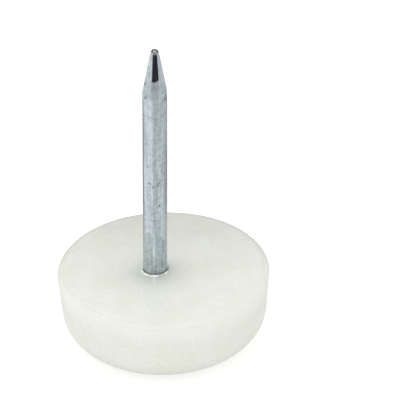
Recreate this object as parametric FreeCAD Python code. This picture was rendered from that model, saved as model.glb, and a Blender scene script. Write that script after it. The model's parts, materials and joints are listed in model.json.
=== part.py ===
import FreeCAD, Part
import math
import os

# Nail-on furniture glide: a round plastic pad, moulded around the head of a steel nail.
# The pad rests on its glide face at Z = 0, centred on the Z axis, and the nail points up.
# The nail is a little off the pad's middle and a little out of square, as moulded.
# Lengths are in millimetres and angles in degrees.

# Pad
pad_diameter = 22.0
pad_height = 8.0
rim_radius = 0.6  # small rounding around the seat face
wall_draft = 4.8  # the wall narrows towards the glide face
corner_radius = 3.4  # large rounding between the wall and the glide face
glide_flat_diameter = 8.0  # flat middle of the glide face, on which the pad rests
crown_angle = 9.0  # slope of the glide face where it meets the corner rounding
bead_radius = 0.2  # round lip of plastic that stands around the nail on the seat face

# Nail
nail_diameter = 2.5
nail_length = 32.0
nail_offset_x = -0.85  # where the nail leaves the seat face
nail_offset_y = -0.25
nail_lean = 1.6  # towards +X, out of square with the seat face
point_turn = 4.0  # about the nail's own axis
grip_turn = 11.0  # about the nail's own axis
head_diameter = 5.8
head_thickness = 1.0
head_neck = 0.6  # length of the cone between the head and the shank
head_cover = 1.95  # plastic between the head and the glide face

# Round marks on the shank: a low swelling at the pad, and two rings from the edges of the grip dies
lip_height = 0.7
lip_swell = 0.05
lip_centre = 0.3  # above the seat face
ring_width = 0.6
ring_depth = 0.02
low_ring = 4.7  # above the seat face
high_ring = 7.1  # below the tip

# Grip flats, pressed into the shank on its diagonals
flat_count = 4
flat_depth = 0.11
flat_start = 5.8  # above the seat face
flat_length = 14.6
flat_runout_radius = 1.8

# Point: four broad facets, with a narrow land between them at the front and the back
point_length = 5.1  # from the tip to where the facets run out of the shank
tip_width = 0.88
facet_angle = 65.0  # direction that a facet faces, away from the nearest land
land_length = 2.9  # from the tip to where the lands run out of the shank
tip_depth = 0.84  # across the two lands at the tip

pad_radius = pad_diameter / 2
nail_radius = nail_diameter / 2
tip_height = head_cover + nail_length
ORIGIN = FreeCAD.Vector(0, 0, 0)
Y_AXIS = FreeCAD.Vector(0, 1, 0)
Z_AXIS = FreeCAD.Vector(0, 0, 1)


def place(radius, height):
    """Point of a section in the XZ plane."""
    return FreeCAD.Vector(radius, 0, height)


def heading(angle, length):
    """Step of a given length in the XZ plane, at an angle from +X towards +Z."""
    return place(length * math.cos(math.radians(angle)), length * math.sin(math.radians(angle)))


def line(start, end):
    return Part.LineSegment(start, end).toShape()


def arc(centre, radius, start, end):
    """Arc in the XZ plane between two angles, each from +X towards +Z."""
    points = [centre + heading(angle, radius) for angle in (start, (start + end) / 2, end)]
    return Part.Arc(*points).toShape()


def revolved(edges):
    """Solid of revolution about Z from the edges of a closed section, in order."""
    return Part.Face(Part.Wire(edges)).revolve(ORIGIN, Z_AXIS, 360)


def turned(shape, angle):
    """Copy of a shape, turned about the Z axis."""
    shape = shape.copy()
    shape.rotate(ORIGIN, Z_AXIS, angle)
    return shape


def pad_body():
    """Round pad: seat face, rounded rim, drafted wall, large corner, crowned face and flat."""
    draft = math.radians(wall_draft)
    crown = math.radians(crown_angle)
    flat_edge = place(glide_flat_diameter / 2, 0)
    rim_centre = place(pad_radius - rim_radius, pad_height - rim_radius)
    wall_top = rim_centre + heading(-wall_draft, rim_radius)
    # The crown's radius is the one that lets flat, crown, corner and wall run smoothly on.
    room = (wall_top.x - flat_edge.x) * math.cos(draft)
    room -= (wall_top.z - corner_radius) * math.sin(draft) + corner_radius
    centre_step = room / (math.sin(crown) * math.cos(draft) - (1 - math.cos(crown)) * math.sin(draft))
    crown_radius = corner_radius + centre_step
    crown_centre = flat_edge + place(0, crown_radius)
    corner_centre = crown_centre + heading(crown_angle - 90, centre_step)
    wall_foot = corner_centre + heading(-wall_draft, corner_radius)
    seat_centre = place(0, pad_height)
    return revolved([
        line(seat_centre, rim_centre + place(0, rim_radius)),
        arc(rim_centre, rim_radius, 90, -wall_draft),
        line(wall_top, wall_foot),
        arc(corner_centre, corner_radius, -wall_draft, crown_angle - 90),
        arc(crown_centre, crown_radius, crown_angle - 90, -90),
        line(flat_edge, ORIGIN),
        line(ORIGIN, seat_centre),
    ])


def nail_bead():
    """Low rounded lip of plastic around the nail, half sunk in the seat face."""
    return Part.makeTorus(nail_radius, bead_radius, FreeCAD.Vector(nail_offset_x, nail_offset_y, pad_height))


def grip_flat():
    """Block that presses one grip flat into the +X side of the shank, with a round run-out at each end."""
    run = flat_runout_radius
    low_centre = place(nail_radius - flat_depth + run, pad_height + flat_start)
    high_centre = low_centre + place(0, flat_length)
    section = Part.Face(Part.Wire([
        arc(low_centre, run, 270, 180),
        line(low_centre - place(run, 0), high_centre - place(run, 0)),
        arc(high_centre, run, 180, 90),
        line(high_centre + place(0, run), low_centre - place(0, run)),
    ]))
    block = section.extrude(Y_AXIS * nail_diameter)
    block.translate(Y_AXIS * -nail_radius)
    return block


def slope(tip_reach, length):
    """Block outside a sloping face on the +X side of the point.

    The face is tip_reach from the axis at the tip, and runs out of the shank at the given length below it.
    """
    side = nail_length
    block = Part.makeBox(side, side, side)
    block.translate(FreeCAD.Vector(0, -side / 2, -side / 2))
    block.rotate(ORIGIN, Y_AXIS, -math.degrees(math.atan2(nail_radius - tip_reach, length)))
    block.translate(place(tip_reach, tip_height))
    return block


def shank_side(low, high):
    """Edges along the side of the shank: straight, apart from the lip and the two rings."""
    edges = []
    for centre, width, swell in (
        (pad_height + lip_centre, lip_height, lip_swell),
        (pad_height + low_ring, ring_width, -ring_depth),
        (tip_height - high_ring, ring_width, -ring_depth),
    ):
        begin = place(nail_radius, centre - width / 2)
        middle = place(nail_radius + swell, centre)
        finish = place(nail_radius, centre + width / 2)
        edges += [line(low, begin), Part.Arc(begin, middle, finish).toShape()]
        low = finish
    return edges + [line(low, high)]


def steel_nail():
    """Nail with a flat head, a neck, a shank with grip flats and a blunt four-sided point."""
    head_edge = place(head_diameter / 2, head_cover)
    head_shoulder = head_edge + place(0, head_thickness)
    neck_end = place(nail_radius, head_shoulder.z + head_neck)
    tip_edge = place(nail_radius, tip_height)
    head_middle = place(0, head_cover)
    tip_middle = place(0, tip_height)
    blank = revolved([
        line(head_middle, head_edge),
        line(head_edge, head_shoulder),
        line(head_shoulder, neck_end),
        *shank_side(neck_end, tip_edge),
        line(tip_edge, tip_middle),
        line(tip_middle, head_middle),
    ])
    grip_front = grip_turn - 90
    flats = [turned(grip_flat(), grip_front + (i + 0.5) * 360 / flat_count) for i in range(flat_count)]
    front = point_turn - 90
    facet = slope(tip_width / 2 * math.sin(math.radians(facet_angle)), point_length)
    land = slope(tip_depth / 2, land_length)
    facets = [turned(facet, front + side + away) for side in (0, 180) for away in (-facet_angle, facet_angle)]
    lands = [turned(land, front + side) for side in (0, 180)]
    nail = blank.cut(flats + facets + lands)
    nail.rotate(place(0, pad_height), Y_AXIS, nail_lean)
    nail.translate(FreeCAD.Vector(nail_offset_x, nail_offset_y, 0))
    return nail


def glide_pad(nail):
    """Pad with its bead, moulded around the nail."""
    return pad_body().fuse(nail_bead()).cut(nail).removeSplitter()


os.makedirs("parts", exist_ok=True)
nail = steel_nail()
pad = glide_pad(nail)
nail.exportStep("parts/steel_nail.step")
pad.exportStep("parts/glide_pad.step")
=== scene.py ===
import json
import math
import random

import bpy
from mathutils import Matrix, Vector, noise


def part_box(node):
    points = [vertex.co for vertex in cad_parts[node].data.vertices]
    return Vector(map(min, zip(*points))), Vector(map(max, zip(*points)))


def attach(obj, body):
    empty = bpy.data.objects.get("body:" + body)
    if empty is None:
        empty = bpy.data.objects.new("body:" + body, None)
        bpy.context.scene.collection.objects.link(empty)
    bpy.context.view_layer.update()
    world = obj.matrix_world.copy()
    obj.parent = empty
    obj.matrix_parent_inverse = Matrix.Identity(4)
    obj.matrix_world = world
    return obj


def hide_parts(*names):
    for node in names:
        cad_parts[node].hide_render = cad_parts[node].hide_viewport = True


# Nail-on furniture glide: a milky plastic pad, moulded around the head of a zinc-plated steel nail.
# Sizes are in millimetres and angles in degrees, unless a name says otherwise. Blender works in metres.

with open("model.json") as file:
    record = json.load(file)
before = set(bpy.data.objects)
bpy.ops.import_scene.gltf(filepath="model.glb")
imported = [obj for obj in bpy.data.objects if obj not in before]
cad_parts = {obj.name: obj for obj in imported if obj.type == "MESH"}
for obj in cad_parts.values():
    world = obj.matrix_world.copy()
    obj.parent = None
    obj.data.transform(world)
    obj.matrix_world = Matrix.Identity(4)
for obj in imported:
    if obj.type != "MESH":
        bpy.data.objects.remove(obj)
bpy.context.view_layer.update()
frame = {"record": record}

MM = 0.001
WHITE = (1.0, 1.0, 1.0, 1.0)
A, B, MIXED = 6, 7, 2  # places of a Mix node's colour sockets, which share their names with others
FIRST, SECOND = 2, 3  # and of its number sockets
mounts = {mount["name"]: mount for mount in frame["record"]["mounts"]}

# Pad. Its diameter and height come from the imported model.
pad_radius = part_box("glide_pad")[1].x / MM
pad_height = mounts["seat_face"]["pos_m"][2] / MM
rim_radius = 0.6
wall_draft = 4.8
corner_radius = 3.4
glide_flat_radius = 4.0
crown_angle = 9.0
pad_sides = 288
sink_depth = 0.04  # how far the skin sank, in soft patches, while the plastic cooled
sink_width = 7.0
mould_seed = 3.0
collar_size = 0.14  # thickest part of the plastic that stands around the nail
collar_lump = 1.1  # length of its thicker and thinner stretches
collar_sides = 120
collar_gap = 0.02  # between the nail and the plastic, where they part at the seat face
gap_depth = 0.25
smooth_angle = 40.0  # edges that turn by less than this are shaded smooth
weld_distance = 0.001  # closes the sweep at the pad's middle
seat_steps, rim_steps, wall_steps = 30, 10, 10  # points on each stretch of the section
corner_steps, crown_steps, flat_steps = 28, 14, 10

# Nail. Its place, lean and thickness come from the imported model. Heights along it are above the seat face.
nail_radius = mounts["nail_shank"]["dims"]["r_mm"]
nail_axis = Vector(mounts["nail_shank"]["axis"])
nail_middle = Vector(mounts["nail_shank"]["pos_m"]) / MM
nail_foot = nail_middle - nail_axis * ((nail_middle.z - pad_height) / nail_axis.z)
nail_sides = 192
head_bottom = -6.05
head_top = -5.05
head_radius = 2.9
neck_top = -4.45
lip_centre, lip_width, lip_swell = 0.3, 0.7, 0.02  # low swelling at the pad
low_ring, low_ring_width, low_ring_depth = 4.7, 0.5, 0.012  # marks from the edges of the grip dies
high_ring, high_ring_width, high_ring_depth = 18.82, 0.26, 0.01
burr_turn, burr_spread, burr_size = 82.0, 9.0, 0.2  # small burr at the base, on the right
burr_centre, burr_height = 0.32, 0.75
UNEVENNESS = ((0.006, 1.1), (0.003, 3.7))  # of the drawn wire: depth, and waves to a millimetre
edge_softness = 0.02  # rounding of the pressed edges
colour_softness = 0.007  # the same for the change of colour there
grazing = 0.1  # cosine of the angle from its normal at which a flat face is far outside the wire

# Grip flats, pressed into the shank by four dies.
grip_turn = 11.0  # about the nail's own axis
flat_depth = 0.11
flat_start = 5.8
flat_end = 20.4
flat_runout = 1.8
# The flats' brightness is partly painted light: the front-left flat brightest, the front-right one darkest.
flat_burnish_and_light = (0.4, 0.8, 0.6, 1.0)  # die burnish and painted light on each flat, from front right, anticlockwise
left_painted_light = 0.15  # painted light on the round stretch at the left, between two flats
left_turn, left_width = 285.0, 50.0
left_start, left_full = 4.9, 5.6

# Point: four broad facets, with a narrow sheared land between them at the front and the back.
tip_height = 25.95
tip_rounding = 0.06
tip_dish = 0.12  # depth of the hollow in the cut end
point_turn = 4.0
point_length = 5.1
facet_turn = 65.0  # direction that a facet faces, away from the nearest land
facet_tip = 0.399  # distance from the axis at the tip
facet_slope = (nail_radius - facet_tip) / point_length
facet_burnish = 0.3
swage_step, swage_width = 0.03, 0.08  # the facets' small step down from the shank
land_turn = -4.0
land_length = 2.9
land_tip = 0.42
land_slope = (nail_radius - land_tip) / land_length
land_fade_start, land_fade_end = 0.32, 0.2  # below the tip, where the plating is whole again

# Rings of the head: height and radius, with rounded edges and a neck that runs into the shank.
HEAD_RINGS = (
    (head_bottom, head_radius * 0.5),
    (head_bottom, head_radius - 0.15),
    (head_bottom + 0.05, head_radius - 0.04),
    (head_bottom + 0.15, head_radius),
    (head_top - 0.2, head_radius),
    (head_top - 0.06, head_radius - 0.05),
    (head_top, head_radius - 0.2),
    (head_top + 0.1, 2.2),
    (head_top + 0.25, 1.75),
    (neck_top - 0.15, 1.4),
)
hidden_rings, hidden_step = 7, 0.6  # on the shank inside the pad
RING_STEPS = ((-0.1, 0.12), (0.75, 0.035), (tip_height, 0.07))  # distance between rings, below each height
tip_steps = 6
tip_clearance = 0.08
DISH_SHARES = (0.93, 0.85, 0.75, 0.6, 0.4, 0.2)  # of the tip's radius

# Wear, with painted light and shade, that the steel's material reads from the mesh. Plain metal has none.
WEAR_AND_LIGHT = ("pressed_and_lit", "sheared", "pitted_and_shaded", "scraped_and_highlit")
PLAIN = (0.0, 0.0, 0.0, 0.0)

# Pits, stains and scratches on the nail, and painted light and shade among them: turn from the front towards
# the right, height, half width in degrees, half height, strength.
DARK_MARKS = (
    (21.1, 8.47, 5.0, 0.12, 1.0), (19.5, 11.2, 4.5, 0.13, 0.55), (17.0, 11.05, 4.5, 0.13, 0.6),
    (14.0, 10.88, 4.5, 0.13, 0.45), (-39.7, 12.97, 5.0, 0.11, 0.5), (41.2, 3.47, 3.0, 0.75, 0.6),
    (40.5, 1.2, 3.0, 0.5, 0.6), (-10.5, 10.71, 5.0, 0.14, 0.7), (-31.5, 11.03, 7.0, 0.12, 0.7),
    (-27.0, 10.62, 5.0, 0.1, 0.4), (-18.0, 11.05, 4.0, 0.1, 0.45), (-52.5, 20.98, 6.0, 0.13, 0.9),
    (41.4, 21.68, 5.0, 0.13, 0.7), (61.4, 21.12, 7.0, 0.14, 0.8), (-80.0, 22.3, 9.0, 0.25, 0.8),
    (-20.0, 10.9, 10.0, 0.3, 0.25), (3.0, 22.35, 19.0, 0.6, 0.3), (12.0, 19.6, 14.0, 1.2, 0.12),
    # Painted shade: a long soft darkening down the right edge of the shank.
    (72.0, 9.7, 7.5, 4.5, 0.42),
)
LIGHT_MARKS = (
    # The first four are a painted highlight, the bright line and its glow low on the front of the shank; the
    # fifth is painted light low on the right.
    (-6.8, 4.6, 4.0, 1.2, 0.7), (-6.0, 3.0, 5.5, 1.2, 1.0), (-5.2, 1.6, 4.5, 0.8, 0.6),
    (-2.0, 3.6, 7.0, 1.4, 0.4), (27.0, 2.9, 9.0, 2.2, 0.25), (-23.0, 10.75, 5.0, 0.16, 1.0),
    (-14.0, 10.5, 3.5, 0.13, 0.7),
)
# Small dark marks at random, first around the back and then on the front: how many, and the range of each
# of the five values.
SMALL_MARKS = (
    (34, ((70, 300), (0.8, 22), (3, 6), (0.08, 0.3), (0.3, 0.8))),
    (40, ((-80, 80), (0.8, 22), (2.5, 4), (0.05, 0.1), (0.1, 0.3))),
)
marks_seed = 23
mark_reach = 2.5  # half heights past which a mark has faded out
pit_depth = 0.025
tip_dirt, tip_dirt_width = 0.95, 0.4  # darkness of the tip's edge, and the share of its rounding that darkens
dish_clean, dish_dirty = 0.5, 0.8  # shares of the tip's radius, between which the dish darkens
ring_shade, ring_shade_width = 0.35, 0.16  # painted shade in the groove of the upper ring
foot_shade, foot_shade_centre, foot_shade_width = 0.6, 0.14, 0.3  # painted shade on the foot, in the gap

# Grains of dirt on the pad: where they are, and how far they spread.
DIRT = (
    ((-1.54, -6.87, 8.0), 0.1), ((-0.74, -8.36, 8.0), 0.09), ((-8.95, 2.87, 8.0), 0.12),
    ((7.66, -3.24, 8.0), 0.1), ((5.07, 4.31, 8.0), 0.1), ((-3.7, -10.4, 7.2), 0.1),
    ((3.2, 6.9, 8.0), 0.09), ((-6.1, 5.6, 8.0), 0.08), ((10.2, 3.6, 4.6), 0.12),
    ((-4.4, 10.0, 5.0), 0.1), ((2.5, -2.0, 0.0), 0.12), ((-5.0, 3.0, 0.1), 0.1),
)


def linear(colour):
    """Linear RGBA from an sRGB hex colour."""
    channels = [int(colour[i:i + 2], 16) / 255 for i in (1, 3, 5)]
    return (*[c / 12.92 if c <= 0.04045 else ((c + 0.055) / 1.055) ** 2.4 for c in channels], 1.0)


def add(tree, kind, inputs=None, **settings):
    """Add a node: settings are its properties, and each input is a socket to link from or a value."""
    node = tree.nodes.new(kind)
    for name, value in settings.items():
        setattr(node, name, value)
    for key, value in (inputs or {}).items():
        if isinstance(value, bpy.types.NodeSocket):
            tree.links.new(value, node.inputs[key])
        else:
            node.inputs[key].default_value = value
    return node


def per_metre(size):
    """Texture scale whose features are about this many millimetres across."""
    return 1 / (size * MM)


def new_object(name, data):
    """Object at the origin, in the scene."""
    made = bpy.data.objects.new(name, data)
    bpy.context.scene.collection.objects.link(made)
    return made


def new_material(name):
    """Material with an empty node tree and its Output node."""
    material = bpy.data.materials.new(name)
    material.use_nodes = True
    tree = material.node_tree
    tree.nodes.clear()
    return material, tree, add(tree, "ShaderNodeOutputMaterial")


# Nail

def bulge(at, centre, width):
    """Round swelling between 0 and 1, of a given width around a centre."""
    return max(0.0, 1 - ((at - centre) / (width / 2)) ** 2)


def smooth(at, start, end):
    """Smooth step from 0 at the start to 1 at the end."""
    share = min(1.0, max(0.0, (at - start) / (end - start)))
    return share * share * (3 - 2 * share)


def flat_face(reach, turn):
    """Radius, at an angle from its normal, of a flat face that is a given distance from the axis."""
    lean = math.cos(turn)
    return reach / lean if lean > grazing else math.inf


def flat_reach(height):
    """Distance of the grip flats from the axis, with the round run-outs at both ends."""
    past = max(flat_start - height, height - flat_end, 0.0)
    if past >= flat_runout:
        return math.inf
    return nail_radius - flat_depth + flat_runout - math.sqrt(flat_runout ** 2 - past ** 2)


def nail_faces(turn, height):
    """Each face of the nail at a turn and a height: radius, and shares of burnished metal with painted light,
    and of sheared metal.
    """
    below_tip = tip_height - height
    faces = [(nail_radius + lip_swell * bulge(height, lip_centre, lip_width), 0.0, 0.0)]
    for i, brightness in enumerate(flat_burnish_and_light):
        away = turn - math.radians(grip_turn + 45 + 90 * i)
        faces.append((flat_face(flat_reach(height), away), brightness, 0.0))
    for back in (0, 180):
        for side in (-facet_turn, facet_turn):
            away = turn - math.radians(point_turn + back + side)
            facet = flat_face(facet_tip + facet_slope * below_tip, away)
            step = swage_step * smooth(nail_radius - facet, 0.0, swage_width)
            faces.append((facet - step, facet_burnish, 0.0))
        away = turn - math.radians(land_turn + back)
        faces.append((flat_face(land_tip + land_slope * below_tip, away), 0.0, 1.0))
    return faces


def nail_side(turn, height):
    """Radius of the nail at a turn from the front, and its shares of burnished metal with painted light, and
    of sheared metal.
    """
    faces = nail_faces(turn, height)
    nearness = sum(math.exp(-reach / edge_softness) for reach, brightness, cut in faces)
    radius = -edge_softness * math.log(nearness)
    shares = [math.exp((radius - reach) / colour_softness) for reach, brightness, cut in faces]
    pressed_and_lit = sum(share * face[1] for share, face in zip(shares, faces)) / sum(shares)
    sheared = sum(share * face[2] for share, face in zip(shares, faces)) / sum(shares)
    # Painted light on the round stretch at the left.
    lit_left = left_painted_light * bulge(math.degrees(turn), left_turn, left_width)
    pressed_and_lit = max(pressed_and_lit, lit_left * smooth(height, left_start, left_full))
    radius -= low_ring_depth * bulge(height, low_ring, low_ring_width)
    radius -= high_ring_depth * bulge(height, high_ring, high_ring_width)
    return radius, pressed_and_lit, sheared


def marked(marks, turn, height):
    """Strength, at a turn and a height, of the strongest of the marks."""
    most = 0.0
    for at, level, half_turn, half_height, strength in marks:
        if abs(height - level) < mark_reach * half_height:
            off = (turn - at + 180) % 360 - 180
            fading = math.exp(-(off / half_turn) ** 2 - ((height - level) / half_height) ** 2)
            most = max(most, strength * fading)
    return most


def worn_and_shaded_marks():
    """The dark marks seen from the front, one of them painted shade, and small ones like them all round."""
    dice = random.Random(marks_seed)
    marks = list(DARK_MARKS)
    for count, ranges in SMALL_MARKS:
        for _ in range(count):
            marks.append([dice.uniform(low, high) for low, high in ranges])
    return marks


def on_ring(turn, radius, height):
    """Point around the nail's own axis, at a turn from the front."""
    front = turn - math.pi / 2
    return Vector((radius * math.cos(front), radius * math.sin(front), height))


def side_heights():
    """Heights of the rings between the neck and the tip, closest together at the foot."""
    heights = [neck_top + hidden_step * i for i in range(hidden_rings)]
    height = heights[-1]
    while height < tip_height - tip_rounding - tip_clearance:
        height += next(step for below, step in RING_STEPS if height < below)
        heights.append(height)
    rises = [math.sin(math.radians(90 * i / tip_steps)) for i in range(tip_steps + 1)]
    return heights + [tip_height - tip_rounding * (1 - rise) for rise in rises]


def side_point(turn, height, dark_marks):
    """Point of the nail's side with its relief, its radius without the relief, and its wear with painted
    light and shade.
    """
    degrees = math.degrees(turn)
    radius, pressed_and_lit, sheared = nail_side(turn, height)
    past = max(0.0, 1 - (tip_height - height) / tip_rounding)
    radius -= tip_rounding * (1 - math.sqrt(1 - past ** 2))
    sheared *= 1 - smooth(height, tip_height - land_fade_start, tip_height - land_fade_end)
    pitted_and_shaded = max(
        marked(dark_marks, degrees, height),
        ring_shade * bulge(height, high_ring, ring_shade_width),
        foot_shade * bulge(height, foot_shade_centre, foot_shade_width),
        tip_dirt * smooth(past, 0.0, tip_dirt_width),
    )
    scraped_and_highlit = marked(LIGHT_MARKS, degrees, height)
    place = on_ring(turn, radius, height)
    uneven = sum(depth * noise.noise(place * density) for depth, density in UNEVENNESS)
    burr = burr_size * math.exp(-((degrees - burr_turn) / burr_spread) ** 2)
    burr *= bulge(height, burr_centre, burr_height)
    outwards = Vector((place.x, place.y, 0)) / radius
    place += outwards * (uneven + burr - pit_depth * pitted_and_shaded)
    return place, radius, (pressed_and_lit, sheared, pitted_and_shaded, scraped_and_highlit)


def nail_surface():
    """Points of the nail on its own axis, ring by ring from under the head to the dish, and their wear with
    painted light and shade.
    """
    turns = [2 * math.pi * i / nail_sides for i in range(nail_sides)]
    points = [Vector((0, 0, head_bottom))]
    for height, radius in HEAD_RINGS:
        points += [on_ring(turn, radius, height) for turn in turns]
    wear_and_light = [PLAIN] * len(points)
    dark_marks = worn_and_shaded_marks()
    for height in side_heights():
        ring = [side_point(turn, height, dark_marks) for turn in turns]
        points += [place for place, radius, worn_and_lit in ring]
        wear_and_light += [worn_and_lit for place, radius, worn_and_lit in ring]
    for share in DISH_SHARES:
        height = tip_height - tip_dish * (1 - share ** 3)
        dark = tip_dirt * smooth(share, dish_clean, dish_dirty)
        for turn, (place, radius, worn_and_lit) in zip(turns, ring):
            points.append(on_ring(turn, radius * share, height))
            wear_and_light.append((0.0, 0.0, dark, 0.0))
    points.append(Vector((0, 0, tip_height - tip_dish)))
    wear_and_light.append(PLAIN)
    return points, wear_and_light


def ring_faces(count):
    """Faces between rings of points, and from the first and the last ring to a middle point."""
    last = 1 + count * nail_sides
    faces = []
    for i in range(nail_sides):
        j = (i + 1) % nail_sides
        faces.append((0, 1 + j, 1 + i))
        for ring in range(count - 1):
            low = 1 + ring * nail_sides
            high = low + nail_sides
            faces.append((low + i, low + j, high + j, high + i))
        faces.append((last - nail_sides + i, last - nail_sides + j, last))
    return faces


def steel_nail():
    """The nail as one closed mesh."""
    points, wear_and_light = nail_surface()
    faces = ring_faces((len(points) - 2) // nail_sides)
    lean = Vector((0, 0, 1)).rotation_difference(nail_axis).to_matrix().to_4x4()
    place = Matrix.Scale(MM, 4) @ Matrix.Translation(nail_foot) @ lean
    mesh = bpy.data.meshes.new("steel_nail")
    mesh.from_pydata([place @ point for point in points], [], faces)
    for name, values in zip(WEAR_AND_LIGHT, zip(*wear_and_light)):
        mesh.attributes.new(name, "FLOAT", "POINT").data.foreach_set("value", values)
    mesh.polygons.foreach_set("use_smooth", [True] * len(faces))
    mesh.validate()
    return new_object("zinc_plated_nail", mesh)


# Pad

def arc_points(centre, radius, start, end, count):
    """Points on an arc of the section, between two angles from outwards towards upwards."""
    angles = [math.radians(start + (end - start) * i / count) for i in range(count + 1)]
    return [(centre[0] + radius * math.cos(a), centre[1] + radius * math.sin(a)) for a in angles]


def line_points(start, end, count):
    """Points on a line of the section, without its ends."""
    (x, z), (end_x, end_z) = start, end
    return [(x + (end_x - x) * i / count, z + (end_z - z) * i / count) for i in range(1, count)]


def pad_section():
    """Half section of the pad from the middle of the seat face to the middle of the glide face."""
    draft = math.radians(wall_draft)
    crown = math.radians(crown_angle)
    rim_centre = (pad_radius - rim_radius, pad_height - rim_radius)
    wall_top = (rim_centre[0] + rim_radius * math.cos(draft), rim_centre[1] - rim_radius * math.sin(draft))
    # The crown's radius is the one that lets flat, crown, corner and wall run smoothly on.
    room = (wall_top[0] - glide_flat_radius) * math.cos(draft)
    room -= (wall_top[1] - corner_radius) * math.sin(draft) + corner_radius
    step = room / (math.sin(crown) * math.cos(draft) - (1 - math.cos(crown)) * math.sin(draft))
    crown_radius = corner_radius + step
    crown_centre = (glide_flat_radius, crown_radius)
    corner_centre = (crown_centre[0] + step * math.sin(crown), crown_centre[1] - step * math.cos(crown))
    seat_middle = (0.0, pad_height)
    glide_middle = (0.0, 0.0)
    rim = arc_points(rim_centre, rim_radius, 90, -wall_draft, rim_steps)
    corner = arc_points(corner_centre, corner_radius, -wall_draft, crown_angle - 90, corner_steps)
    glide = arc_points(crown_centre, crown_radius, crown_angle - 90, -90, crown_steps)
    return [
        seat_middle,
        *line_points(seat_middle, rim[0], seat_steps),
        *rim,
        *line_points(rim[-1], corner[0], wall_steps),
        *corner,
        *glide[1:],
        *line_points(glide[-1], glide_middle, flat_steps),
        glide_middle,
    ]


def section_curve(points):
    """The section as a curve. A sweep around a circle turns its X outwards and its Y downwards."""
    curve = bpy.data.curves.new("pad_section", "CURVE")
    curve.dimensions = "3D"
    spline = curve.splines.new("POLY")
    spline.points.add(len(points) - 1)
    for point, (reach, height) in zip(spline.points, points):
        point.co = ((reach - pad_radius) * MM, -height * MM, 0, 1)
    return new_object("pad_section", curve)


def sunk_sweep(tree, given):
    """The section swept around the pad. As the plastic cooled, its skin sank a little, in soft patches."""
    section = add(tree, "GeometryNodeObjectInfo", {"Object": given["Section"]})
    path = add(tree, "GeometryNodeCurvePrimitiveCircle", {
        "Resolution": given["Sides"], "Radius": given["Radius"]})
    swept = add(tree, "GeometryNodeCurveToMesh", {
        "Curve": path.outputs["Curve"], "Profile Curve": section.outputs["Geometry"]})
    closed = add(tree, "GeometryNodeMergeByDistance", {
        "Geometry": swept.outputs["Mesh"], "Distance": weld_distance * MM})
    density = add(tree, "ShaderNodeMath", {0: 1.0, 1: given["Wave"]}, operation="DIVIDE")
    patches = add(tree, "ShaderNodeTexNoise", {
        "W": given["Seed"], "Scale": density.outputs[0], "Detail": 1.0}, noise_dimensions="4D")
    sink = add(tree, "ShaderNodeMath", {0: patches.outputs[0], 1: given["Sink"]}, operation="MULTIPLY")
    normal = add(tree, "GeometryNodeInputNormal")
    outwards = add(tree, "ShaderNodeVectorMath", {
        0: normal.outputs[0], "Scale": sink.outputs[0]}, operation="SCALE")
    inwards = add(tree, "ShaderNodeVectorMath", {0: outwards.outputs[0], "Scale": -1.0}, operation="SCALE")
    sunk = add(tree, "GeometryNodeSetPosition", {
        "Geometry": closed.outputs["Geometry"], "Offset": inwards.outputs[0]})
    return sunk.outputs["Geometry"]


def nail_collar(tree, given):
    """Collar of plastic pushed up around the nail, thickest at the front and uneven on the way round."""
    section_sides = 16
    front, behind = -1.5, 0.0  # places between which it gets thinner
    behind_share = 0.25
    radius = add(tree, "ShaderNodeMath", {
        0: given["Collar size"], 1: 0.5, 2: given["Gap radius"]}, operation="MULTIPLY_ADD")
    round_nail = add(tree, "GeometryNodeCurvePrimitiveCircle", {
        "Resolution": collar_sides, "Radius": radius.outputs[0]})
    path = add(tree, "GeometryNodeTransform", {
        "Geometry": round_nail.outputs["Curve"], "Translation": given["Nail place"]})
    section = add(tree, "GeometryNodeCurvePrimitiveCircle", {
        "Resolution": section_sides, "Radius": given["Collar size"]})
    lumps = add(tree, "ShaderNodeTexNoise", {
        "W": given["Seed"], "Scale": per_metre(collar_lump), "Detail": 2.0}, noise_dimensions="4D")
    uneven = add(tree, "ShaderNodeMapRange", {
        "Value": lumps.outputs[0], "From Min": 0.38, "From Max": 0.62, "To Min": 0.6, "To Max": 1.0})
    spot = add(tree, "ShaderNodeSeparateXYZ", {0: add(tree, "GeometryNodeInputPosition").outputs[0]})
    at_front = add(tree, "ShaderNodeMapRange", {
        "Value": spot.outputs["Y"], "From Min": front * MM, "From Max": behind * MM,
        "To Min": 1.0, "To Max": behind_share})
    thickness = add(tree, "ShaderNodeMath", {
        0: uneven.outputs["Result"], 1: at_front.outputs["Result"]}, operation="MULTIPLY")
    collar = add(tree, "GeometryNodeCurveToMesh", {
        "Curve": path.outputs["Geometry"], "Profile Curve": section.outputs["Curve"],
        "Scale": thickness.outputs[0]})
    return collar.outputs["Mesh"]


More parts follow.
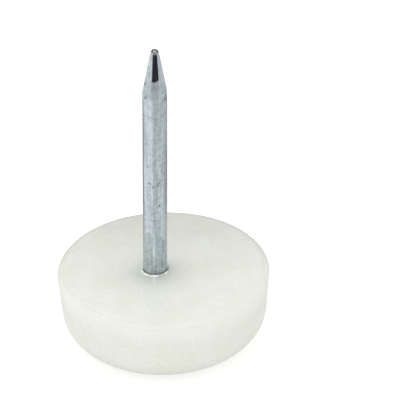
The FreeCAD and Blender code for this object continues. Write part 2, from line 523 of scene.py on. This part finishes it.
def moulded_pad_tree():
    """Geometry tree of the pad: swept section, collar around the nail, a narrow gap and the nail's hollow."""
    tree = bpy.data.node_groups.new("moulded pad", "GeometryNodeTree")
    tree.interface.new_socket("Geometry", in_out="OUTPUT", socket_type="NodeSocketGeometry")
    for name, kind in (
        ("Section", "Object"), ("Nail", "Object"), ("Radius", "Float"), ("Sides", "Int"), ("Sink", "Float"),
        ("Wave", "Float"), ("Nail place", "Vector"), ("Gap radius", "Float"), ("Collar size", "Float"),
        ("Seed", "Float"), ("Plastic", "Material"),
    ):
        tree.interface.new_socket(name, in_out="INPUT", socket_type="NodeSocket" + kind)
    given = add(tree, "NodeGroupInput").outputs
    joined = add(tree, "GeometryNodeMeshBoolean", operation="UNION", solver="MANIFOLD")
    for part in (nail_collar(tree, given), sunk_sweep(tree, given)):
        tree.links.new(part, joined.inputs["Mesh 2"])
    nail = add(tree, "GeometryNodeObjectInfo", {"Object": given["Nail"]})
    plug = add(tree, "GeometryNodeMeshCylinder", {
        "Vertices": collar_sides, "Radius": given["Gap radius"], "Depth": 2 * gap_depth * MM})
    gap = add(tree, "GeometryNodeTransform", {
        "Geometry": plug.outputs["Mesh"], "Translation": given["Nail place"]})
    hollowed = add(tree, "GeometryNodeMeshBoolean", {
        "Mesh 1": joined.outputs["Mesh"]}, operation="DIFFERENCE", solver="MANIFOLD")
    for part in (nail, gap):
        tree.links.new(part.outputs["Geometry"], hollowed.inputs["Mesh 2"])
    angle = add(tree, "GeometryNodeInputMeshEdgeAngle")
    soft = add(tree, "FunctionNodeCompare", {
        "A": angle.outputs["Unsigned Angle"], "B": math.radians(smooth_angle)}, operation="LESS_THAN")
    rounded = add(tree, "GeometryNodeSetShadeSmooth", {
        "Geometry": hollowed.outputs["Mesh"], "Shade Smooth": soft.outputs[0]}, domain="EDGE")
    plain = add(tree, "GeometryNodeRealizeInstances", {"Geometry": rounded.outputs["Geometry"]})
    finished = add(tree, "GeometryNodeSetMaterial", {
        "Geometry": plain.outputs["Geometry"], "Material": given["Plastic"]})
    add(tree, "NodeGroupOutput", {"Geometry": finished.outputs["Geometry"]})
    return tree


def moulded_pad(nail, plastic):
    """The pad as one plain mesh, from the geometry tree."""
    section = section_curve(pad_section())
    shaper = new_object("pad_shaper", bpy.data.meshes.new("pad_shaper"))
    tree = moulded_pad_tree()
    modifier = shaper.modifiers.new("moulded pad", "NODES")
    modifier.node_group = tree
    sizes = {
        "Section": section,
        "Nail": nail,
        "Radius": pad_radius * MM,
        "Sides": pad_sides,
        "Sink": sink_depth * MM,
        "Wave": sink_width * MM,
        "Nail place": tuple(nail_foot * MM),
        "Gap radius": (nail_radius + collar_gap) * MM,
        "Collar size": collar_size * MM,
        "Seed": mould_seed,
        "Plastic": plastic,
    }
    for socket in tree.interface.items_tree:
        if socket.in_out == "INPUT":
            modifier[socket.identifier] = sizes[socket.name]
    evaluated = shaper.evaluated_get(bpy.context.evaluated_depsgraph_get())
    mesh = bpy.data.meshes.new_from_object(evaluated)
    mesh.name = "glide_pad"
    for scrap in (shaper, section):
        bpy.data.objects.remove(scrap)
    return new_object("moulded_pad", mesh)


# Materials

def clouded_plastic(tree, clouds, grain):
    """Colour of the plastic itself, between two close whites, with fine mottling."""
    darkest = (0.95, 0.95, 0.95, 1.0)
    cloudy = add(tree, "ShaderNodeMapRange", {"Value": clouds, "From Min": 0.33, "From Max": 0.67})
    body = add(tree, "ShaderNodeMix", {
        "Factor": cloudy.outputs["Result"], A: linear("#EBEDE7"), B: linear("#E7E9DD")}, data_type="RGBA")
    mottle = add(tree, "ShaderNodeMapRange", {"Value": grain, "From Min": 0.35, "From Max": 0.65})
    speckled = add(tree, "ShaderNodeMix", {
        "Factor": mottle.outputs["Result"], A: darkest, B: WHITE}, data_type="RGBA")
    mottled = add(tree, "ShaderNodeMix", {
        "Factor": 1.0, A: body.outputs[MIXED], B: speckled.outputs[MIXED]},
        data_type="RGBA", blend_type="MULTIPLY")
    return mottled.outputs[MIXED]


def steel_and_painted_shade(tree, colour, spot, from_nail):
    """Colour around the nail, darkened by painted shade that is strongest in front and least at the back; the
    steel also shows dimly through the plastic there.
    """
    shade_start, shade_end = 1.5, 14.5
    shade_front, shade_back = 0.3325, 0.0525
    away = add(tree, "ShaderNodeMapRange", {
        "Value": from_nail, "From Min": shade_start * MM, "From Max": shade_end * MM,
        "To Min": 0.0, "To Max": -10.0}, clamp=False)
    fading = add(tree, "ShaderNodeMath", {0: away.outputs["Result"]}, operation="EXPONENT")
    strength = add(tree, "ShaderNodeMapRange", {
        "Value": spot["Y"], "From Min": -2.5 * MM, "From Max": 2.0 * MM,
        "To Min": shade_front, "To Max": shade_back})
    dimmed = add(tree, "ShaderNodeMath", {
        0: fading.outputs[0], 1: strength.outputs["Result"]}, operation="MULTIPLY")
    shaded = add(tree, "ShaderNodeMix", {
        "Factor": dimmed.outputs[0], A: colour, B: linear("#2C4046")}, data_type="RGBA")
    return shaded.outputs[MIXED]


def painted_rim_shade_and_light(tree, colour, section_place):
    """Colour near the rim, dulled with painted shade where its highlight falls. The top of the wall under it
    is paler with painted light.
    """
    rim = (pad_radius - 0.3, 0.0, pad_height - 0.08)
    wall_top = (pad_radius, 0.0, pad_height - 0.9)
    # Painted shade on the rim, then painted light on the top of the wall.
    for middle, inside, outside, strength, tint in (
        (rim, 0.25, 0.62, 0.17, "#BFC2B8"),
        (wall_top, 0.25, 1.7, 0.19, "#FFFFFC"),
    ):
        off = add(tree, "ShaderNodeVectorMath", {
            0: section_place, 1: tuple(Vector(middle) * MM)}, operation="DISTANCE")
        near = add(tree, "ShaderNodeMapRange", {
            "Value": off.outputs["Value"], "From Min": inside * MM, "From Max": outside * MM,
            "To Min": strength, "To Max": 0.0}, interpolation_type="SMOOTHSTEP")
        tinted = add(tree, "ShaderNodeMix", {
            "Factor": near.outputs["Result"], A: colour, B: linear(tint)}, data_type="RGBA")
        colour = tinted.outputs[MIXED]
    return colour


def soiled(tree, colour, place):
    """Colour with the few grains of dirt on the pad."""
    dirt_strength = 0.5
    dirt = 0.0
    for middle, size in DIRT:
        off = add(tree, "ShaderNodeVectorMath", {
            0: place, 1: tuple(Vector(middle) * MM)}, operation="DISTANCE")
        near = add(tree, "ShaderNodeMapRange", {
            "Value": off.outputs["Value"], "From Min": 0.0, "From Max": size * MM,
            "To Min": dirt_strength, "To Max": 0.0}, interpolation_type="SMOOTHSTEP")
        most = add(tree, "ShaderNodeMath", {0: dirt, 1: near.outputs["Result"]}, operation="MAXIMUM")
        dirt = most.outputs[0]
    dirty = add(tree, "ShaderNodeMix", {"Factor": dirt, A: colour, B: linear("#6E7070")}, data_type="RGBA")
    return dirty.outputs[MIXED]


def painted_highlight_share(tree, place, from_nail):
    """Share of plastic painted opaque white as highlights: in patches right at the nail, and a spot at its
    front.
    """
    patch_size = 0.6
    full_reach, last_reach = nail_radius + 0.2, nail_radius + 0.32
    at_nail = add(tree, "ShaderNodeMapRange", {
        "Value": from_nail, "From Min": full_reach * MM, "From Max": last_reach * MM,
        "To Min": 1.0, "To Max": 0.0})
    patches = add(tree, "ShaderNodeTexNoise", {
        "Vector": place, "Scale": per_metre(patch_size), "Detail": 2.0})
    patchy = add(tree, "ShaderNodeMapRange", {"Value": patches.outputs[0], "From Min": 0.45, "From Max": 0.6})
    front = Vector((nail_foot.x - 0.05, nail_foot.y - nail_radius - 0.12, pad_height))
    from_front = add(tree, "ShaderNodeVectorMath", {0: place, 1: tuple(front * MM)}, operation="DISTANCE")
    at_front = add(tree, "ShaderNodeMapRange", {
        "Value": from_front.outputs["Value"], "From Min": 0.25 * MM, "From Max": 0.4 * MM,
        "To Min": 1.0, "To Max": 0.0})
    highlight_spots = add(tree, "ShaderNodeMath", {
        0: patchy.outputs["Result"], 1: at_front.outputs["Result"]}, operation="MAXIMUM")
    highlighted = add(tree, "ShaderNodeMath", {
        0: at_nail.outputs["Result"], 1: highlight_spots.outputs[0]}, operation="MULTIPLY")
    return highlighted.outputs[0]


def painted_reflection_share(tree, spot):
    """Share of the short pale line in front of the nail: a painted reflection of the nail's bright line in
    the seat face.
    """
    line_place = nail_foot.x - 0.1
    line_core, line_edge = 0.03, 0.2  # half widths
    line_end, line_fade = -3.6, -2.2
    line_strength = 0.45
    aside = add(tree, "ShaderNodeMath", {0: spot["X"], 1: line_place * MM}, operation="SUBTRACT")
    off = add(tree, "ShaderNodeMath", {0: aside.outputs[0]}, operation="ABSOLUTE")
    across = add(tree, "ShaderNodeMapRange", {
        "Value": off.outputs[0], "From Min": line_core * MM, "From Max": line_edge * MM,
        "To Min": line_strength, "To Max": 0.0}, interpolation_type="SMOOTHSTEP")
    end = add(tree, "ShaderNodeMapRange", {
        "Value": spot["Y"], "From Min": line_end * MM, "From Max": line_fade * MM})
    start = add(tree, "ShaderNodeMath", {0: spot["Y"], 1: nail_foot.y * MM}, operation="LESS_THAN")
    along = add(tree, "ShaderNodeMath", {
        0: across.outputs["Result"], 1: end.outputs["Result"]}, operation="MULTIPLY")
    line = add(tree, "ShaderNodeMath", {0: along.outputs[0], 1: start.outputs[0]}, operation="MULTIPLY")
    return line.outputs[0]


def milky_polyethylene():
    """Moulded natural polyethylene: milky and a little see-through, so light spreads inside it, and the steel
    and painted shade darken it around the nail; soft gloss with faint clouds, the mould's turning marks and a
    few grains of dirt, painted shade and light at the rim, painted highlights around the nail and a painted
    reflection of the nail in front of it."""
    cloud_size, mottle_size, turning_mark = 3.0, 0.3, 0.25
    skin_depth = 0.008
    light_spread = 1.6
    material, tree, output = new_material("Moulded milky polyethylene")
    place = add(tree, "ShaderNodeTexCoord").outputs["Object"]
    spot = add(tree, "ShaderNodeSeparateXYZ", {0: place}).outputs
    flat_place = add(tree, "ShaderNodeCombineXYZ", {0: spot["X"], 1: spot["Y"]})
    reach = add(tree, "ShaderNodeVectorMath", {0: flat_place.outputs[0]}, operation="LENGTH")
    section_place = add(tree, "ShaderNodeCombineXYZ", {0: reach.outputs["Value"], 2: spot["Z"]})
    from_nail = add(tree, "ShaderNodeVectorMath", {0: place, 1: tuple(nail_foot * MM)}, operation="DISTANCE")
    clouds = add(tree, "ShaderNodeTexNoise", {
        "Vector": place, "Scale": per_metre(cloud_size), "Detail": 4.0, "Roughness": 0.6, "Distortion": 0.4})
    # Fine mottling. In the real plastic it is finer still, and is drawn coarser here to show.
    grain = add(tree, "ShaderNodeTexNoise", {
        "Vector": place, "Scale": per_metre(mottle_size), "Detail": 3.0})
    # Turning marks of the mould: fine rings around the pad's middle.
    heading = add(tree, "ShaderNodeVectorMath", {0: flat_place.outputs[0]}, operation="NORMALIZE")
    ring_place = add(tree, "ShaderNodeMath", {
        0: reach.outputs["Value"], 1: per_metre(turning_mark)}, operation="MULTIPLY")
    rings = add(tree, "ShaderNodeTexNoise", {
        "Vector": heading.outputs[0], "W": ring_place.outputs[0], "Scale": 1.0, "Detail": 2.0},
        noise_dimensions="4D")

    colour = clouded_plastic(tree, clouds.outputs[0], grain.outputs[0])
    colour = steel_and_painted_shade(tree, colour, spot, from_nail.outputs["Value"])
    colour = painted_rim_shade_and_light(tree, colour, section_place.outputs[0])
    colour = soiled(tree, colour, place)
    gloss = add(tree, "ShaderNodeMapRange", {
        "Value": clouds.outputs[0], "From Min": 0.3, "From Max": 0.7, "To Min": 0.32, "To Max": 0.42})
    relief = add(tree, "ShaderNodeMix", {"Factor": 0.35, FIRST: grain.outputs[0], SECOND: rings.outputs[0]})
    skin = add(tree, "ShaderNodeBump", {
        "Height": relief.outputs[0], "Strength": 1.0, "Distance": skin_depth * MM})
    surface = add(tree, "ShaderNodeBsdfPrincipled", {
        "Base Color": colour, "Roughness": gloss.outputs["Result"], "IOR": 1.51,
        "Normal": skin.outputs["Normal"], "Subsurface Weight": 0.15, "Subsurface Radius": (1.0, 1.0, 1.0),
        "Subsurface Scale": light_spread * MM, "Coat Weight": 0.3, "Coat Roughness": 0.15})

    # Painted highlights and the painted reflection: plastic drawn plain white, which lets no light through.
    painted_white = add(tree, "ShaderNodeBsdfPrincipled", {
        "Base Color": linear("#F6F6F3"), "Roughness": 0.4, "IOR": 1.51})
    highlighted = painted_highlight_share(tree, place, from_nail.outputs["Value"])
    pale = add(tree, "ShaderNodeMath", {0: highlighted, 1: painted_reflection_share(tree, spot)}, operation="MAXIMUM")
    both = add(tree, "ShaderNodeMixShader", {
        0: pale.outputs[0], 1: surface.outputs[0], 2: painted_white.outputs[0]})
    tree.links.new(both.outputs[0], output.inputs["Surface"])
    return material


def zinc_plated_steel():
    """Drawn steel wire with bright zinc plating: faintly blue and blotchy, burnished brighter by the dies,
    with lines along the wire, pits and scratches, and bare dark steel where the point was sheared. Painted
    light makes the front-left flat brightest and draws a bright line low on the front of the shank; painted
    shade darkens the right edge, the groove of the upper ring and the foot in the gap."""
    blotch_size, crystal_size = 0.5, 0.22
    line_width, line_length = 0.24, 4.5
    material, tree, output = new_material("Bright zinc plate on drawn steel")
    place = add(tree, "ShaderNodeTexCoord").outputs["Object"]
    blotches = add(tree, "ShaderNodeTexNoise", {
        "Vector": place, "Scale": per_metre(blotch_size), "Detail": 5.0, "Roughness": 0.7})
    # The plating's crystals are finer than this, and are drawn coarser here to show.
    crystals = add(tree, "ShaderNodeTexVoronoi", {
        "Vector": place, "Scale": per_metre(crystal_size), "Randomness": 1.0})
    flakes = add(tree, "ShaderNodeSeparateColor", {0: crystals.outputs["Color"]})
    stretch = (per_metre(line_width), per_metre(line_width), per_metre(line_length))
    along = add(tree, "ShaderNodeMapping", {"Vector": place, "Scale": stretch})
    lines = add(tree, "ShaderNodeTexNoise", {"Vector": along.outputs[0], "Scale": 1.0, "Detail": 3.0})
    mixed = add(tree, "ShaderNodeMix", {"Factor": 0.6, FIRST: blotches.outputs[0], SECOND: lines.outputs[0]})
    tone = add(tree, "ShaderNodeMix", {"Factor": 0.11, FIRST: mixed.outputs[0], SECOND: flakes.outputs[0]})
    spread = add(tree, "ShaderNodeMapRange", {"Value": tone.outputs[0], "From Min": 0.34, "From Max": 0.66})
    plated = add(tree, "ShaderNodeMix", {
        "Factor": spread.outputs["Result"], A: linear("#9BA8AD"), B: linear("#D8E3E8")}, data_type="RGBA")
    burnished_and_lit = add(tree, "ShaderNodeMix", {
        "Factor": spread.outputs["Result"], A: linear("#B4C0CA"), B: linear("#E2ECF5")}, data_type="RGBA")
    colour = plated.outputs[MIXED]
    # The first share is die burnish with painted light, the second scratches with a painted highlight, the
    # third pits and stains with painted shade.
    for wear_and_light, finish in (
        ("pressed_and_lit", burnished_and_lit.outputs[MIXED]),
        ("scraped_and_highlit", linear("#E8F4FF")),
        ("pitted_and_shaded", linear("#4A463C")),
        ("sheared", linear("#62626B")),
    ):
        share = add(tree, "ShaderNodeAttribute", attribute_name=wear_and_light)
        worn_and_lit = add(tree, "ShaderNodeMix", {
            "Factor": share.outputs["Fac"], A: colour, B: finish}, data_type="RGBA")
        colour = worn_and_lit.outputs[MIXED]
    gloss = add(tree, "ShaderNodeMapRange", {
        "Value": blotches.outputs[0], "From Min": 0.3, "From Max": 0.7, "To Min": 0.44, "To Max": 0.32})
    surface = add(tree, "ShaderNodeBsdfPrincipled", {
        "Base Color": colour, "Metallic": 1.0, "Roughness": gloss.outputs["Result"]})
    tree.links.new(surface.outputs[0], output.inputs["Surface"])
    return material


def studio_paper():
    """Matt white background paper. It glows a little, and more for the camera, which sees it as plain white
    except for the object's shadow."""
    fibre_size, tooth_depth = 0.6, 0.02
    glow_share, glow_strength, camera_lift = 0.32, 1.05, 0.85
    material, tree, output = new_material("Matt white paper")
    ray = add(tree, "ShaderNodeLightPath").outputs
    strength = add(tree, "ShaderNodeMath", {
        0: ray["Is Camera Ray"], 1: camera_lift, 2: glow_strength}, operation="MULTIPLY_ADD")
    place = add(tree, "ShaderNodeTexCoord").outputs["Object"]
    fibres = add(tree, "ShaderNodeTexNoise", {
        "Vector": place, "Scale": per_metre(fibre_size), "Detail": 4.0})
    tooth = add(tree, "ShaderNodeBump", {
        "Height": fibres.outputs[0], "Strength": 0.3, "Distance": tooth_depth * MM})
    paper = add(tree, "ShaderNodeBsdfPrincipled", {
        "Base Color": linear("#E3E3E1"), "Roughness": 0.9, "Specular IOR Level": 0.2,
        "Normal": tooth.outputs["Normal"]})
    glow = add(tree, "ShaderNodeEmission", {"Strength": strength.outputs[0]})
    lifted = add(tree, "ShaderNodeMixShader", {0: glow_share, 1: paper.outputs[0], 2: glow.outputs[0]})
    tree.links.new(lifted.outputs[0], output.inputs["Surface"])
    return material


def felt(name, dark, light):
    """Matt felt that soaks up light, between two close tones."""
    nap_size = 2.0
    material, tree, output = new_material(name)
    place = add(tree, "ShaderNodeTexCoord").outputs["Object"]
    nap = add(tree, "ShaderNodeTexNoise", {"Vector": place, "Scale": per_metre(nap_size)})
    tone = add(tree, "ShaderNodeMix", {
        "Factor": nap.outputs[0], A: linear(dark), B: linear(light)}, data_type="RGBA")
    cloth = add(tree, "ShaderNodeBsdfPrincipled", {
        "Base Color": tone.outputs[MIXED], "Roughness": 0.95, "Specular IOR Level": 0.0})
    tree.links.new(cloth.outputs[0], output.inputs["Surface"])
    return material


# Studio

FLOOR = ((-600, -70), (600, -70), (600, 900), (-600, 900))
surround_light = 1.095
flag_lift = 0.3  # of the lowest flags, above the floor


def upright(start, end, low, high):
    """Corners of an upright sheet over a line on the floor, between two heights."""
    return [(*start, low), (*end, low), (*end, high), (*start, high)]


def lying(outline, height):
    """Corners of a level sheet at a height."""
    return [(*corner, height) for corner in outline]


def sheet(name, corners, material):
    """Flat four-cornered sheet, with its corners in millimetres."""
    mesh = bpy.data.meshes.new(name)
    mesh.from_pydata([Vector(corner) * MM for corner in corners], [], [range(len(corners))])
    mesh.materials.append(material)
    return new_object(name, mesh)


def felt_sheets():
    """Sheets of felt that the camera does not see.

    Flags are what the nail mirrors, and are there only for reflections. Cards keep some light from the back
    of the seat face and the right of the wall, and are not there for reflections.
    """
    at_right = ((8, 16), (20, 11), (46, 18.5), (26, 40))
    at_left = ((-13, 15), (-24, 13), (-44, 30), (-24, 42))
    black = felt("Black felt", "#101012", "#18181A")
    dark = felt("Dark grey felt", "#4A4D52", "#585B60")
    sheets = []
    for name, corners, cloth, passed_by in (
        ("front_flag", upright((-220, -260), (220, -260), -120, 130), black, "visible_diffuse"),
        ("back_card", upright((-40, 14.5), (45, 12.3), 11, 16.2), black, "visible_glossy"),
        ("right_card", upright((32, -18), (32, 4), 3, 5.5), black, "visible_glossy"),
        ("back_flag", upright((-22, 26), (22, 22), flag_lift, 20), dark, "visible_diffuse"),
        ("right_flag", lying(at_right, flag_lift), dark, "visible_diffuse"),
        ("left_flag", lying(at_left, flag_lift), dark, "visible_diffuse"),
    ):
        hung = sheet(name, corners, cloth)
        for sight in ("visible_camera", "visible_shadow", passed_by):
            setattr(hung, sight, False)
        sheets.append(hung)
    return sheets


def soft_light(name, place, target, size, power):
    """Square soft light that faces a point. Places are in millimetres and the power in watts."""
    lamp = bpy.data.lights.new(name, "AREA")
    lamp.size = size * MM
    lamp.energy = power
    light = new_object(name, lamp)
    light.location = Vector(place) * MM
    light.visible_camera = False
    light.visible_glossy = False
    light.rotation_euler = (Vector(target) - Vector(place)).to_track_quat("-Z", "Y").to_euler()


def studio_world():
    """Even white surroundings: soft light on the object, and plain white where they are seen or reflected."""
    world = bpy.data.worlds.new("White studio")
    world.use_nodes = True
    tree = world.node_tree
    tree.nodes.clear()
    ray = add(tree, "ShaderNodeLightPath").outputs
    mirrored = add(tree, "ShaderNodeMath", {
        0: ray["Is Camera Ray"], 1: ray["Is Glossy Ray"]}, operation="MAXIMUM")
    seen = add(tree, "ShaderNodeMath", {
        0: mirrored.outputs[0], 1: ray["Is Transmission Ray"]}, operation="MAXIMUM")
    light = add(tree, "ShaderNodeBackground", {"Strength": surround_light, "Color": WHITE})
    white = add(tree, "ShaderNodeBackground", {"Strength": 1.0, "Color": WHITE})
    both = add(tree, "ShaderNodeMixShader", {0: seen.outputs[0], 1: light.outputs[0], 2: white.outputs[0]})
    add(tree, "ShaderNodeOutputWorld", {"Surface": both.outputs[0]})
    bpy.context.scene.world = world


def photo_camera():
    """Camera at the photo's view: from the front and above, with the picture's slight roll."""
    elevation = math.radians(32.4)
    roll = math.radians(-1.5)
    distance = 330
    aim_right, aim_up = 3.8, 6.97  # of the middle of the seat face
    level_up = Vector((0, math.sin(elevation), math.cos(elevation)))
    across = Vector((1, 0, 0))
    right = across * math.cos(roll) + level_up * math.sin(roll)
    up = level_up * math.cos(roll) - across * math.sin(roll)
    back = right.cross(up)
    aim = Vector((0, 0, pad_height)) + right * aim_right + up * aim_up
    lens = bpy.data.cameras.new("photo_camera")
    lens.sensor_width = 36
    lens.lens = 286.7
    lens.clip_start = 0.01
    lens.clip_end = 10
    camera = new_object("photo_camera", lens)
    turn = Matrix((right, up, back)).transposed().to_4x4()
    camera.matrix_world = Matrix.Translation((aim + back * distance) * MM) @ turn
    bpy.context.scene.camera = camera


nail = steel_nail()
nail.data.materials.append(zinc_plated_steel())
pad = moulded_pad(nail, milky_polyethylene())
for piece, node, slot in ((pad, "glide_pad", "pad_plastic"), (nail, "steel_nail", "nail_steel")):
    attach(piece, "root")
    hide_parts(node)

floor = sheet("paper_floor", lying(FLOOR, 0), studio_paper())
flags = felt_sheets()
soft_light("left", place=(-90, -30, 60), target=(0, 0, 5), size=70, power=0.0034)
studio_world()
photo_camera()
bpy.context.scene.view_settings.view_transform = "Standard"
